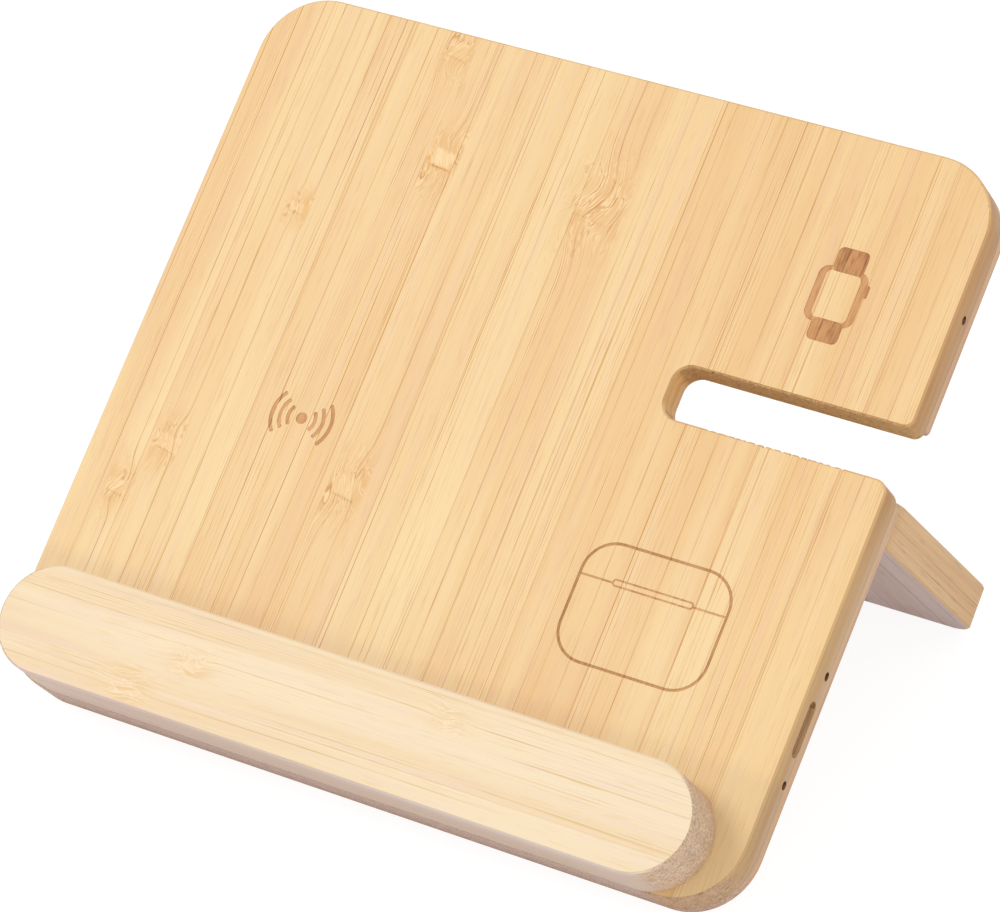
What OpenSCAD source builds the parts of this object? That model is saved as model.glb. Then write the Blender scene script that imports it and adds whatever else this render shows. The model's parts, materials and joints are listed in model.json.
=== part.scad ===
// Leaning charging stand for a phone, an earbuds case and a watch.
// Two bamboo boards form the panel, a bamboo rail carries the devices,
// and a hinged bamboo leg props the panel up and folds flat against it.

/* [Panel] */
// Width of the panel
panel_w = 170; // [160:1:190]
// Height of the panel, along its face
panel_h = 159; // [150:1:175]
// Thickness of the milled front board
front_t = 7.7; // [7.3:0.1:10]
// Thickness of the back cover
cover_t = 2.8; // [2.6:0.1:4]
// Radius of the panel's outer corners
corner_r = 14.2; // [10:0.1:20]
// Chamfer that eases the outer edges of the boards
edge_ease = 0.4; // [0.3:0.1:0.8]
// Chamfer on both sides of the joint between board and cover
seam_ease = 0.2; // [0.1:0.05:0.4]

/* [Strap slot] */
// Height of the slot's lower edge above the panel's lower edge
slot_v = 91.7; // [88:0.1:96]
// Height of the slot, along the panel's face
slot_h = 11.5; // [8:0.5:14]
// Depth of the slot, from the panel's right side
slot_depth = 51.5; // [46:0.5:56]
// Radius of the two corners at the slot's inner end
slot_inner_r = 3.8; // [2:0.1:4]
// Radius of the front board's corner below the slot's mouth
mouth_low_r = 3; // [1.5:0.5:6]
// Radius of the front board's corner above the slot's mouth
mouth_high_r = 2; // [1.5:0.5:6]
// How far the cover's slot is set back from the front board's
cover_slot_gap = 2; // [1:0.1:2.2]
// Radius of the cover's two corners at the slot's mouth
cover_mouth_r = 1; // [0.9:0.1:4]

/* [Front rail] */
// Height of the rail, along the panel's face; its ends are full half rounds
rail_h = 23.4; // [20:0.2:26]
// How far the rail stands out of the panel's face
rail_d = 13.5; // [11:0.5:18]
// Distance from the panel's left side to the rail's left end
rail_left = 4.4; // [3:0.1:8]
// Distance from the panel's right side to the rail's right end
rail_right = 6.6; // [3:0.1:8]

/* [Rear leg] */
// Length of the leg, from the hinge axis to its foot
leg_len = 71.2; // [60:0.2:72]
// Thickness of the leg
leg_t = 9.5; // [9:0.1:11]
// Distance from the panel's side to the leg's side
leg_inset = 1.5; // [1:0.5:4]
// Radius of the leg's corners, seen square to the leg
leg_corner_r = 7.5; // [5:0.5:9]
// Angle between the opened leg and the lower panel, in degrees
leg_open = 93; // [90:0.5:98]
// Distance from the slot's lower edge down to the hinge axis
hinge_drop = 10.15; // [10.1:0.05:12]
// Depth to which the lower edges are sanded flat for the desk
sole_cut = 0.6; // [0.3:0.1:1]

/* [Hinges] */
// Length of a butt hinge
hinge_len = 19; // [17:0.5:20]
// Distance from the panel's side to the middle of a hinge
hinge_side = 19; // [18:0.5:20]
// Width of a hinge leaf, from the hinge axis
leaf_w = 7.2; // [6.6:0.1:7.4]
// Thickness of a hinge leaf
leaf_t = 1; // [0.8:0.1:1.2]
// Diameter of the hinge knuckles
knuckle_d = 3.2; // [2.8:0.1:3.4]
// Diameter of the hinge pin
hinge_pin_d = 1.6; // [1.2:0.1:1.8]
// Radial clearance of the pin in the turning knuckle
pin_play = 0.05; // [0.03:0.01:0.1]
// Gap along the axis between two knuckles
knuckle_gap = 0.2; // [0.1:0.05:0.3]
// Distance between the two screws of a leaf
leaf_screw_pitch = 11; // [9:0.5:12]

/* [Screws] */
// Shank diameter of the hinge screws
hinge_screw_d = 2; // [1.6:0.1:2.2]
// Length of the hinge screws
hinge_screw_len = 6; // [5:0.5:7]
// Shank diameter of the cover screws
cover_screw_d = 2.4; // [2:0.1:3]
// Length of the cover screws
cover_screw_len = 7; // [6:0.5:8]
// Distance from the panel's edges to the cover screws
cover_screw_inset = 9; // [8:0.5:11]
// Shank diameter of the rail screws
rail_screw_d = 3; // [2.5:0.1:3.5]
// Length of the rail screws
rail_screw_len = 16; // [14:0.5:17]
// Distance from the panel's side to the outer rail screws
rail_screw_side = 26; // [24:1:32]

/* [Phone charger] */
// Distance of the phone coil's centre from the panel's left side
phone_u = 44; // [42:0.5:46]
// Height of the phone coil's centre above the panel's lower edge
phone_v = 70; // [68:0.5:72]
// Outer diameter of the phone coil
phone_coil_d = 43; // [38:1:43]
// Diameter of the phone coil's middle hole
phone_coil_hole = 20; // [16:1:22]

/* [Earbuds charger] */
// Wall between the earbuds pocket and the board pocket
buds_wall = 2.6; // [1.5:0.1:4]
// Height of the earbuds coil's centre above the panel's lower edge
buds_v = 51.6; // [50:0.2:54]
// Outer diameter of the earbuds coil
buds_coil_d = 31; // [28:1:32]
// Diameter of the earbuds coil's middle hole
buds_coil_hole = 12; // [8:1:14]

/* [Watch charger] */
// Distance of the watch coil's centre from the panel's right side
watch_side = 25; // [23:0.5:27]
// Height of the watch coil's centre above the panel's lower edge
watch_v = 125; // [122:0.5:130]
// Outer diameter of the watch coil
watch_coil_d = 27; // [24:1:28]
// Diameter of the watch coil's middle hole
watch_coil_hole = 13; // [12:0.5:15]
// Diameter of the magnet in the middle of the watch coil
watch_magnet_d = 10; // [8:0.5:11]

/* [Charger layers] */
// Thickness of the wound coils
coil_t = 1.4; // [1.2:0.1:1.5]
// Thickness of the ferrite shields
ferrite_t = 1.4; // [1.2:0.1:1.5]
// How far a shield stands out past its coil
ferrite_margin = 1; // [0.5:0.1:1.2]
// Clearance round a shield in its pocket
pocket_play = 0.5; // [0.3:0.1:0.6]

/* [Socket and lights] */
// Height of the power socket's centre above the panel's lower edge
socket_v = 40.75; // [39:0.25:42]
// Length of the socket's slot in the panel's side
socket_slot_l = 11.8; // [11:0.1:12.5]
// Width of the socket's slot in the panel's side
socket_slot_w = 3.4; // [3.4:0.1:3.8]
// Width of the socket's metal shell
socket_shell_l = 9; // [8.8:0.1:9.2]
// Height of the socket's metal shell
socket_shell_w = 3.2; // [3:0.1:3.2]
// Depth of the socket's metal shell
socket_shell_d = 7.4; // [6.5:0.1:8]
// Wall between the board pocket and the panel's right side
side_wall = 2.4; // [2:0.1:3]
// Diameter of the light holes in the panel's side
light_hole_d = 1.9; // [1.5:0.1:2.2]
// Height of the phone light above the panel's lower edge
phone_light_v = 52.3; // [51.5:0.1:53]
// Height of the earbuds light above the panel's lower edge
buds_light_v = 29.3; // [28.5:0.1:30]
// Height of the watch light above the panel's lower edge
watch_light_v = 128.7; // [127:0.1:130]
// Depth of the watch light behind the panel's face
watch_light_w = 5.2; // [4.8:0.1:5.4]

/* [Circuit boards] */
// Thickness of the circuit boards
board_t = 0.8; // [0.6:0.1:1]
// Width of the main circuit board
board_w = 16; // [15:0.5:17]
// Lower edge of the main circuit board, above the panel's lower edge
board_v = 25; // [24:0.5:26]
// Height of the main circuit board, along the panel's face
board_h = 32; // [31:0.5:33]
// Diameter of the insulated lead pairs
lead_d = 1.6; // [1.2:0.1:1.8]
// Radius of the leads' bends
lead_bend_r = 3; // [2.5:0.5:4]

/* [Hidden] */
$fn = 64;

// Overshoot of a cutter past the face that it opens
cut = 1;
panel_t = front_t + cover_t;
slot_u = panel_w - slot_depth;
slot_top = slot_v + slot_h;
hinge_v = slot_v - hinge_drop;

// The leg's end stops this far behind the cover, and the axis lies midway
stop_gap = 0.1;
axis_back = stop_gap / 2;
// Gap between the two leaves, and the depth of the mortises that give it
leaf_gap = 0.3;
mortise_d = leaf_t + (leaf_gap - stop_gap) / 2;
// The leg's lower face lies this far above the hinge axis
leg_lift = 0.25;
knuckle_r = knuckle_d / 2;
leaf_screw_y = leaf_w / 2 + 1;
// Clearance round the knuckles in the cover and in the leg
knuckle_play = 0.35;
leg_tilt = leg_open - 90;

// The panel leans so that its own edge and the leg's foot both reach the desk
foot_v = hinge_v + leg_lift * cos(leg_tilt) + leg_len * sin(leg_tilt);
foot_back = axis_back - leg_lift * sin(leg_tilt) + leg_len * cos(leg_tilt);
lean = atan2(foot_back, foot_v);

// The origin is on the desk, below the middle of the whole stand
front_y = -(rail_d - edge_ease) * sin(lean);
panel_back_y = panel_h * cos(lean) + (panel_t - edge_ease) * sin(lean);
leg_back_y = foot_v * cos(lean) + (panel_t + foot_back) * sin(lean)
    + (leg_t - edge_ease) * cos(lean + leg_tilt);
shift_y = -(front_y + max(panel_back_y, leg_back_y)) / 2;
shift_z = panel_t * cos(lean) - sole_cut;

// Depths behind the panel's face: from the cover forward come the boards,
// the leads, the shields, the coils and the skin of wood in front of them
board_face_w = front_t - board_t;
lead_w = board_face_w - lead_d / 2;
coil_back_w = board_face_w - lead_d - ferrite_t;
skin_t = coil_back_w - coil_t;
socket_w = board_face_w - socket_shell_w / 2;
light_size = 1.2;
light_w = board_face_w - light_size / 2;

watch_u = panel_w - watch_side;
board_play = 0.5;
board_u = panel_w - side_wall - board_w;
phone_pocket_r = phone_coil_d / 2 + ferrite_margin + pocket_play;
buds_pocket_r = buds_coil_d / 2 + ferrite_margin + pocket_play;
watch_pocket_r = watch_coil_d / 2 + ferrite_margin + pocket_play;
buds_u = board_u - board_play - buds_wall - buds_pocket_r;
socket_recess = 1.9;

// Two leads share a channel along the top of the main board, and one of
// them goes on round the slot's inner end to the watch charger
lead_side = 0.625 * lead_d;
channel_w = 2.5 * lead_d;
channel_d = board_t + lead_d + pocket_play;
channel_v = board_v + board_h - channel_w / 2;
channel_u = slot_u - 13;
watch_channel_v = slot_top + 8;
buds_channel_v = buds_v - buds_coil_d / 6;
lead_end_u = board_u + 1;
watch_board_l = 9;
watch_board_h = 9;
watch_board_u = panel_w - side_wall - board_play - watch_board_l;

cover_screw_places = [
    [cover_screw_inset, cover_screw_inset],
    [panel_w / 2, cover_screw_inset],
    [panel_w - cover_screw_inset, cover_screw_inset],
    [cover_screw_inset, panel_h - cover_screw_inset],
    [panel_w / 2, panel_h - cover_screw_inset],
    [panel_w - cover_screw_inset, panel_h - cover_screw_inset],
    [slot_u - cover_slot_gap - 4.5, (slot_v + slot_top) / 2]
];
rail_screw_count = 4;
rail_screw_step = (panel_w - 2 * rail_screw_side) / (rail_screw_count - 1);
hinge_us = [hinge_side, panel_w - hinge_side];

// Places what is drawn flat, face up, into the leaning panel
module on_panel() {
    translate([0, shift_y, shift_z])
        rotate([lean, 0, 0])
            translate([-panel_w / 2, 0, 0])
                children();
}

// A frame with x along the hinge axis and y along the leg, towards its foot
module on_leg() {
    translate([0, hinge_v, -panel_t - axis_back])
        rotate([leg_tilt - 90, 0, 0])
            children();
}

// A frame at the middle of one hinge, on its axis
module on_hinge(u) {
    translate([u, hinge_v, -panel_t - axis_back])
        children();
}

// Everything below the desk, which the sanding of the edges removes
module below_desk() {
    translate([-panel_w, -panel_h, -panel_h])
        cube([2 * panel_w, 3 * panel_h, panel_h]);
}

// A board with round corners and chamfered edges, exact in every curve
module eased_board(x0, y0, x1, y1, z0, z1, r, low_c, high_c) {
    function section(a, b) = [
        [a + low_c, z0], [b - low_c, z0], [b, z0 + low_c], [b, z1 - high_c],
        [b - high_c, z1], [a + high_c, z1], [a, z1 - high_c], [a, z0 + low_c]
    ];
    translate([0, y1 - r, 0])
        rotate([90, 0, 0])
            linear_extrude(y1 - y0 - 2 * r)
                polygon(section(x0, x1));
    translate([x0 + r, 0, 0])
        rotate([90, 0, 90])
            linear_extrude(x1 - x0 - 2 * r)
                polygon(section(y0, y1));
    for (x = [x0 + r, x1 - r], y = [y0 + r, y1 - r])
        translate([x, y, 0])
            rotate_extrude()
                polygon([
                    [0, z0], [r - low_c, z0], [r, z0 + low_c],
                    [r, z1 - high_c], [r - high_c, z1], [0, z1]
                ]);
}

// Wood that rounds the corner of radius r at (u, v), the slot's inner end;
// side is 1 at the slot's lower edge and -1 at its upper one
module slot_fillet(u, v, side, r, z0, z1, low_c, high_c) {
    reach = r + max(low_c, high_c);
    mid = r;
    difference() {
        translate([u - reach + mid, side > 0 ? v - reach + mid : v - mid, z0])
            cube([reach, reach, z1 - z0]);
        translate([u + mid, v + side * mid, 0])
            rotate_extrude()
                polygon([
                    [0, z0 - cut], [mid + low_c, z0 - cut], [mid + low_c, z0],
                    [mid, z0 + low_c], [mid, z1 - high_c],
                    [mid + high_c, z1], [mid + high_c, z1 + cut], [0, z1 + cut]
                ]);
    }
}

// The outline that the front board and the cover share, from z0 up to z1.
// Its slot is set back by gap, with corners of low_r and high_r at the mouth.
module panel_board(z0, z1, low_c, high_c, gap, low_r, high_r) {
    overlap = 2 * corner_r + 10;
    inner = slot_u - gap;
    low = slot_v - gap;
    high = slot_top + gap;
    inner_r = slot_inner_r + gap;
    eased_board(0, 0, panel_w, low, z0, z1, corner_r, low_c, high_c);
    eased_board(panel_w - overlap, low - overlap, panel_w, low, z0, z1, low_r, low_c, high_c);
    eased_board(0, 0, inner, panel_h, z0, z1, corner_r, low_c, high_c);
    eased_board(inner - overlap, high, panel_w, panel_h, z0, z1, corner_r, low_c, high_c);
    eased_board(panel_w - overlap, high, panel_w, high + corner_r + 2 * high_r,
        z0, z1, high_r, low_c, high_c);
    slot_fillet(inner, low, 1, inner_r, z0, z1, low_c, high_c);
    slot_fillet(inner, high, -1, inner_r, z0, z1, low_c, high_c);
}

// A straight groove with round ends, open at the back of the front board
module groove(a, b, width, depth) {
    run = norm(b - a);
    for (p = [a, b])
        translate([p[0], p[1], -front_t - cut])
            cylinder(d = width, h = depth + cut);
    translate([a[0], a[1], 0])
        rotate([0, 0, atan2(b[1] - a[1], b[0] - a[0])])
            translate([0, -width / 2, -front_t - cut])
                cube([run, width, depth + cut]);
}

// A round pocket for one coil, milled from the back down to the skin
module coil_pocket(u, v, r) {
    translate([u, v, -front_t - cut])
        cylinder(r = r, h = front_t - skin_t + cut);
}

// A countersunk hole for a screw whose head lies at z = 0 and faces down
module screw_hole(d, length) {
    translate([0, 0, -cut])
        cylinder(d = 1.8 * d, h = cut);
    cylinder(d1 = 1.8 * d, d2 = d, h = 0.4 * d);
    cylinder(d = d, h = length);
}

// A countersunk wood screw with a cross recess, head at z = 0 facing down
module screw(d, length) {
    blade = 0.2 * d;
    difference() {
        union() {
            cylinder(d1 = 1.8 * d, d2 = d, h = 0.4 * d);
            cylinder(d = d, h = length - d / 2);
            translate([0, 0, length - d / 2])
                cylinder(d1 = d, d2 = 0.3 * d, h = d / 2);
        }
        for (turn = [0, 90])
            rotate([0, 0, turn])
                translate([-d / 2, -blade / 2, -cut])
                    cube([d, blade, cut + 0.25 * d]);
    }
}

// A slot with round ends that runs along x, with its middle at the origin
module stadium_slot(length, width, depth) {
    straight = length - width;
    translate([-straight / 2, -width / 2, 0])
        cube([straight, width, depth]);
    for (x = [-straight / 2, straight / 2])
        translate([x, 0, 0])
            cylinder(d = width, h = depth);
}

// Turns what is drawn along z so that it enters the panel's right side
module into_side(v, w) {
    translate([panel_w, v, -w])
        rotate([0, -90, 0])
            rotate([0, 0, 90])
                children();
}

module light_hole(v, w, depth) {
    into_side(v, w)
        translate([0, 0, -cut])
            cylinder(d = light_hole_d, h = depth + cut);
}

module front_panel_pockets() {
    coil_pocket(phone_u, phone_v, phone_pocket_r);
    coil_pocket(buds_u, buds_v, buds_pocket_r);
    coil_pocket(watch_u, watch_v, watch_pocket_r);
    translate([board_u - board_play, board_v - board_play, -front_t - cut])
        cube([board_w + board_play, board_h + 2 * board_play, front_t - skin_t + cut]);
    translate([watch_u, watch_light_v - watch_board_h / 2 - board_play, -front_t - cut])
        cube([panel_w - side_wall - watch_u, watch_board_h + 2 * board_play, front_t - skin_t + cut]);
    groove([phone_u, channel_v], [board_u, channel_v], channel_w, channel_d);
    groove([channel_u, channel_v], [channel_u, watch_channel_v], channel_w, channel_d);
    groove([channel_u, watch_channel_v], [watch_u, watch_channel_v], channel_w, channel_d);
    groove([buds_u, buds_channel_v], [board_u, buds_channel_v], channel_w, channel_d);
}

module front_panel() {
    color([0.95, 0.82, 0.60])
        on_panel()
            difference() {
                panel_board(-front_t, 0, seam_ease, edge_ease, 0, mouth_low_r, mouth_high_r);
                front_panel_pockets();
                into_side(socket_v, socket_w)
                    translate([0, 0, -cut])
                        stadium_slot(socket_slot_l, socket_slot_w, side_wall + cut + board_play);
                light_hole(phone_light_v, light_w, side_wall + board_play);
                light_hole(buds_light_v, light_w, side_wall + board_play);
                light_hole(watch_light_v, watch_light_w, side_wall + board_play);
                for (p = cover_screw_places)
                    translate([p[0], p[1], -panel_t])
                        screw_hole(cover_screw_d, cover_screw_len);
                for (i = [0 : rail_screw_count - 1])
                    translate([rail_screw_side + i * rail_screw_step, rail_h / 2, -front_t])
                        screw_hole(rail_screw_d, rail_screw_len);
                for (u = hinge_us)
                    on_hinge(u)
                        leaf_screw_holes(1);
            }
}

module back_cover() {
    color([0.93, 0.79, 0.58])
        difference() {
            on_panel()
                difference() {
                    panel_board(-panel_t, -front_t, edge_ease, seam_ease,
                        cover_slot_gap, cover_mouth_r, cover_mouth_r);
                    for (p = cover_screw_places)
                        translate([p[0], p[1], -panel_t])
                            screw_hole(cover_screw_d, cover_screw_len);
                    for (u = hinge_us) {
                        on_hinge(u)
                            hinge_room();
                        translate([u - hinge_len / 2, hinge_v, -panel_t - cut])
                            cube([hinge_len, leaf_w, mortise_d + cut]);
                        on_hinge(u)
                            leaf_screw_holes(1);
                    }
                }
            below_desk();
        }
}

// A bar with half-round ends and chamfered edges, from the panel's face out
module rail_body() {
    r = rail_h / 2;
    translate([rail_left + r, 0, 0])
        rotate([90, 0, 90])
            linear_extrude(panel_w - rail_left - rail_right - 2 * r)
                polygon([
                    [seam_ease, 0], [rail_h - seam_ease, 0], [rail_h, seam_ease],
                    [rail_h, rail_d - edge_ease], [rail_h - edge_ease, rail_d],
                    [edge_ease, rail_d], [0, rail_d - edge_ease], [0, seam_ease]
                ]);
    for (x = [rail_left + r, panel_w - rail_right - r])
        translate([x, r, 0])
            rotate_extrude()
                polygon([
                    [0, 0], [r - seam_ease, 0], [r, seam_ease],
                    [r, rail_d - edge_ease], [r - edge_ease, rail_d], [0, rail_d]
                ]);
}

module front_rail() {
    color([0.97, 0.88, 0.72])
        on_panel()
            difference() {
                rail_body();
                for (i = [0 : rail_screw_count - 1])
                    translate([rail_screw_side + i * rail_screw_step, rail_h / 2, -front_t])
                        screw_hole(rail_screw_d, rail_screw_len);
            }
}

module rail_screws() {
    color([0.62, 0.62, 0.64])
        on_panel()
            for (i = [0 : rail_screw_count - 1])
                translate([rail_screw_side + i * rail_screw_step, rail_h / 2, -front_t])
                    screw(rail_screw_d, rail_screw_len);
}

module cover_screws() {
    color([0.62, 0.62, 0.64])
        on_panel()
            for (p = cover_screw_places)
                translate([p[0], p[1], -panel_t])
                    screw(cover_screw_d, cover_screw_len);
}

// A flat winding against the skin, with edges rounded like its wire
module coil(u, v, d, hole) {
    wire_r = coil_t / 2;
    translate([u, v, -skin_t - wire_r])
        rotate_extrude() {
            translate([hole / 2 + wire_r, -wire_r])
                square([(d - hole) / 2 - coil_t, coil_t]);
            for (x = [hole / 2 + wire_r, d / 2 - wire_r])
                translate([x, 0])
                    circle(r = wire_r);
        }
}

// The shield that backs a coil
module ferrite(u, v, coil_d) {
    translate([u, v, -skin_t - coil_t - ferrite_t])
        cylinder(d = coil_d + 2 * ferrite_margin, h = ferrite_t);
}

// An insulated lead pair along places on the panel, with square bends
module lead(places) {
    last = len(places) - 1;
    function way(i) = (places[i + 1] - places[i]) / norm(places[i + 1] - places[i]);
    for (i = [0 : last - 1]) {
        trim_a = i > 0 ? lead_bend_r : 0;
        trim_b = i < last - 1 ? lead_bend_r : 0;
        start = places[i] + trim_a * way(i);
        translate([start[0], start[1], -lead_w])
            rotate([0, 90, atan2(way(i)[1], way(i)[0])])
                cylinder(d = lead_d, h = norm(places[i + 1] - places[i]) - trim_a - trim_b);
    }
    if (last > 1)
        for (i = [1 : last - 1]) {
            a = way(i - 1);
            b = way(i);
            middle = places[i] + lead_bend_r * (b - a);
            left = a[0] * b[1] - a[1] * b[0] > 0;
            from = left ? -b : a;
            translate([middle[0], middle[1], -lead_w])
                rotate([0, 0, atan2(from[1], from[0])])
                    rotate_extrude(angle = 90)
                        translate([lead_bend_r, 0])
                            circle(d = lead_d);
        }
}

module phone_coil() {
    color([0.72, 0.42, 0.22])
        on_panel()
            coil(phone_u, phone_v, phone_coil_d, phone_coil_hole);
}

module phone_ferrite() {
    color([0.22, 0.22, 0.24])
        on_panel()
            ferrite(phone_u, phone_v, phone_coil_d);
}

module phone_lead() {
    color([0.15, 0.15, 0.15])
        on_panel()
            lead([
                [phone_u, phone_v],
                [phone_u, channel_v - lead_side],
                [lead_end_u, channel_v - lead_side]
            ]);
}

module earbuds_coil() {
    color([0.72, 0.42, 0.22])
        on_panel()
            coil(buds_u, buds_v, buds_coil_d, buds_coil_hole);
}

module earbuds_ferrite() {
    color([0.22, 0.22, 0.24])
        on_panel()
            ferrite(buds_u, buds_v, buds_coil_d);
}

module earbuds_lead() {
    color([0.75, 0.12, 0.10])
        on_panel()
            lead([
                [buds_u + buds_coil_d / 4, buds_channel_v],
                [lead_end_u, buds_channel_v]
            ]);
}

module watch_coil() {
    color([0.72, 0.42, 0.22])
        on_panel()
            coil(watch_u, watch_v, watch_coil_d, watch_coil_hole);
}

module watch_ferrite() {
    color([0.22, 0.22, 0.24])
        on_panel()
            difference() {
                ferrite(watch_u, watch_v, watch_coil_d);
                translate([watch_u, watch_v, -front_t])
                    cylinder(d = watch_magnet_d, h = front_t - skin_t);
            }
}

module watch_magnet() {
    color([0.75, 0.75, 0.77])
        on_panel()
            translate([watch_u, watch_v, -skin_t - coil_t - ferrite_t])
                cylinder(d = watch_magnet_d, h = coil_t + ferrite_t);
}

module watch_lead() {
    color([0.85, 0.85, 0.82])
        on_panel()
            lead([
                [lead_end_u, channel_v + lead_side],
                [channel_u, channel_v + lead_side],
                [channel_u, watch_channel_v],
                [watch_u, watch_channel_v],
                [watch_u, watch_light_v],
                [watch_board_u + 1, watch_light_v]
            ]);
}

module circuit_board() {
    color([0.10, 0.38, 0.22])
        on_panel()
            translate([board_u, board_v, -front_t])
                cube([board_w - board_play, board_h, board_t]);
}

module socket_shell() {
    wall = 0.3;
    color([0.78, 0.79, 0.80])
        on_panel()
            into_side(socket_v, socket_w)
                translate([0, 0, socket_recess])
                    difference() {
                        stadium_slot(socket_shell_l, socket_shell_w, socket_shell_d);
                        translate([0, 0, -cut])
                            stadium_slot(socket_shell_l - 2 * wall, socket_shell_w - 2 * wall,
                                socket_shell_d - wall + cut);
                    }
}

module socket_tongue() {
    wall = 0.3;
    tongue_l = 6.7;
    tongue_t = 0.7;
    color([0.12, 0.12, 0.13])
        on_panel()
            into_side(socket_v, socket_w)
                translate([-tongue_l / 2, -tongue_t / 2, socket_recess + 1])
                    cube([tongue_l, tongue_t, socket_shell_d - wall - 1]);
}

// A part that is soldered to the face of the main board
module on_board(x, y, size) {
    translate([board_u + x, board_v + y, -board_face_w])
        cube(size);
}

module controller_chips() {
    color([0.13, 0.13, 0.14])
        on_panel() {
            on_board(2.5, 19.5, [5, 5, 1]);
            on_board(2, 1.5, [4, 4, 1]);
            on_board(8.5, 23.6, [3, 3, 0.9]);
            translate([watch_board_u + 3.5, watch_light_v - 1.5, -board_face_w])
                cube([3, 3, 0.9]);
        }
}

module power_inductors() {
    size = 3;
    color([0.30, 0.30, 0.32])
        on_panel()
            for (y = [7.5, 12])
                on_board(1.5, y, [size, size, 2]);
}

module tuning_capacitors() {
    color([0.72, 0.62, 0.46])
        on_panel()
            for (x = [7.6, 10.2], y = [1.6, 5.2])
                on_board(x, y, [1.6, 3.2, 1.2]);
}

// A side-facing light that stands on a board and reaches up behind its hole
module side_light(v, w) {
    translate([panel_w - side_wall - light_size - board_play, v - light_size, -board_face_w])
        cube([light_size, 2 * light_size, board_face_w - w + light_size / 2]);
}

module phone_light() {
    color([0.92, 0.94, 0.88])
        on_panel()
            side_light(phone_light_v, light_w);
}

module earbuds_light() {
    color([0.92, 0.94, 0.88])
        on_panel()
            side_light(buds_light_v, light_w);
}

module watch_board() {
    color([0.10, 0.38, 0.22])
        on_panel()
            translate([watch_board_u, watch_light_v - watch_board_h / 2, -front_t])
                cube([watch_board_l, watch_board_h, board_t]);
}

module watch_light() {
    color([0.92, 0.94, 0.88])
        on_panel()
            side_light(watch_light_v, watch_light_w);
}

// The room that the knuckles need in the cover and in the leg
module hinge_room() {
    r = knuckle_r + knuckle_play;
    half = hinge_len / 2 + knuckle_play;
    translate([-half, 0, 0])
        rotate([0, 90, 0])
            cylinder(r = r, h = 2 * half);
}

// The holes for the two screws of a leaf; dir is the way that they point
module leaf_screw_holes(dir) {
    for (side = [-1, 1])
        translate([side * leaf_screw_pitch / 2, leaf_screw_y, dir * leaf_gap / 2])
            rotate([dir > 0 ? 0 : 180, 0, 0])
                screw_hole(hinge_screw_d, hinge_screw_len);
}

// One knuckle along the axis, from x0 to x1
module knuckle(x0, x1) {
    translate([x0, 0, 0])
        rotate([0, 90, 0])
            cylinder(r = knuckle_r, h = x1 - x0);
}

// A hinge leaf with its knuckles: z0 is the lower face of its plate, dir is
// the way that its screws point, and the middle knuckle is left to the other
module leaf(z0, dir, middle, bore_r) {
    half = hinge_len / 2;
    third = hinge_len / 6;
    gap = knuckle_gap / 2;
    room = knuckle_r + knuckle_play;
    own = middle ? [[-third + gap, third - gap]] : [[-half, -third - gap], [third + gap, half]];
    other = middle ? [[-half - cut, -third + gap], [third - gap, half + cut]] : [[-third - gap, third + gap]];
    difference() {
        union() {
            translate([-half, 0, z0])
                cube([hinge_len, leaf_w, leaf_t]);
            for (k = own)
                knuckle(k[0], k[1]);
        }
        for (k = other)
            translate([k[0], -room, -room])
                cube([k[1] - k[0], 2 * room, 2 * room]);
        translate([-half - cut, 0, 0])
            rotate([0, 90, 0])
                cylinder(r = bore_r, h = hinge_len + 2 * cut);
        leaf_screw_holes(dir);
    }
}

module fixed_leaf(u) {
    color([0.80, 0.66, 0.36])
        on_panel()
            on_hinge(u)
                leaf(leaf_gap / 2, 1, false, hinge_pin_d / 2);
}

module leg_leaf(u) {
    color([0.80, 0.66, 0.36])
        on_panel()
            on_hinge(u)
                leaf(-leaf_gap / 2 - leaf_t, -1, true, hinge_pin_d / 2 + pin_play);
}

module hinge_pin(u) {
    color([0.70, 0.58, 0.32])
        on_panel()
            on_hinge(u)
                translate([-hinge_len / 2, 0, 0])
                    rotate([0, 90, 0])
                        cylinder(d = hinge_pin_d, h = hinge_len);
}

module left_hinge_fixed_leaf() { fixed_leaf(hinge_us[0]); }
module right_hinge_fixed_leaf() { fixed_leaf(hinge_us[1]); }
module left_hinge_leg_leaf() { leg_leaf(hinge_us[0]); }
module right_hinge_leg_leaf() { leg_leaf(hinge_us[1]); }
module left_hinge_pin() { hinge_pin(hinge_us[0]); }
module right_hinge_pin() { hinge_pin(hinge_us[1]); }

module hinge_cover_screws() {
    color([0.80, 0.68, 0.40])
        on_panel()
            for (u = hinge_us, side = [-1, 1])
                on_hinge(u)
                    translate([side * leaf_screw_pitch / 2, leaf_screw_y, leaf_gap / 2])
                        screw(hinge_screw_d, hinge_screw_len);
}

module hinge_leg_screws() {
    color([0.80, 0.68, 0.40])
        on_panel()
            for (u = hinge_us, side = [-1, 1])
                on_hinge(u)
                    translate([side * leaf_screw_pitch / 2, leaf_screw_y, -leaf_gap / 2])
                        rotate([180, 0, 0])
                            screw(hinge_screw_d, hinge_screw_len);
}

module rear_leg() {
    color([0.92, 0.78, 0.56])
        difference() {
            on_panel()
                difference() {
                    on_leg()
                        eased_board(leg_inset, 0, panel_w - leg_inset, leg_len,
                            leg_lift, leg_lift + leg_t, leg_corner_r, edge_ease, edge_ease);
                    translate([-cut, 0, -panel_t - stop_gap])
                        cube([panel_w + 2 * cut, panel_h, panel_t]);
                    for (u = hinge_us)
                        on_hinge(u) {
                            hinge_room();
                            translate([-hinge_len / 2, 0, -axis_back - mortise_d])
                                cube([hinge_len, leaf_w, mortise_d + cut]);
                            leaf_screw_holes(-1);
                        }
                }
            below_desk();
        }
}

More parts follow.
